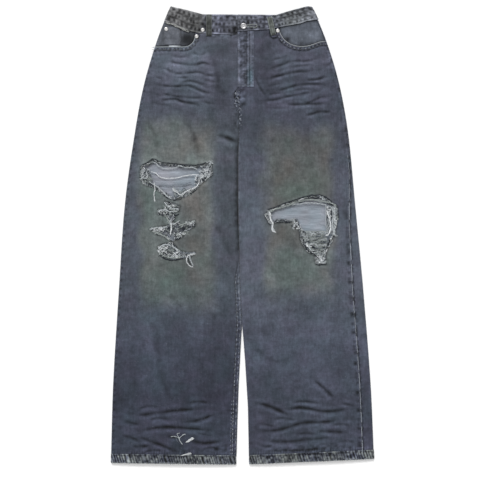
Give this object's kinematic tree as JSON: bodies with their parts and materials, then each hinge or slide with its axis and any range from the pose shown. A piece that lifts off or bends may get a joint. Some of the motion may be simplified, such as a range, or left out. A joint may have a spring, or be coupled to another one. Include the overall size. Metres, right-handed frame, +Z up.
{
  "type": "ripped jeans laid flat",
  "caption": "Wide straight five-pocket jeans laid flat with the front up, with ripped knees, lapped button fly, scooped pockets and turned hems.",
  "frame": {"origin": "middle of the outline, on the surface that the jeans lie on", "axes": "+Y up the legs to the waist, +Z up out of the front, +X to the wearer's left"},
  "size_m": [0.6283, 1.0938, 0.0149],
  "materials": {
    "denim": "washed slate-blue twill with worn ridges and olive stains",
    "band_denim": "abraded charcoal twill with puckered stitching",
    "pocketing": "pale plain weave",
    "metal": "silver, softly worn"
  },
  "bodies": {
    "root": {"right_front_panel": "denim", "left_front_panel": "denim", "right_back_panel": "denim", "left_back_panel": "denim", "right_back_turn": "denim", "left_back_turn": "denim", "right_yoke": "denim", "left_yoke": "denim", "right_back_pocket": "denim", "left_back_pocket": "denim", "waistband": "band_denim", "fly_placket": "denim", "fly_shield": "band_denim", "right_pocket_facing": "denim", "left_pocket_facing": "denim", "coin_pocket": "denim", "right_pocket_bag": "pocketing", "right_hem": "denim", "left_hem": "denim", "belt_loop_front_right": "band_denim", "belt_loop_front_left": "band_denim", "belt_loop_back_right": "band_denim", "belt_loop_back_centre": "band_denim", "belt_loop_back_left": "band_denim", "waist_button": "metal", "rivet_coin_pocket": "metal", "rivet_pocket_right": "metal", "rivet_loop_right": "metal", "rivet_pocket_left": "metal"}
  },
  "joints": []
}
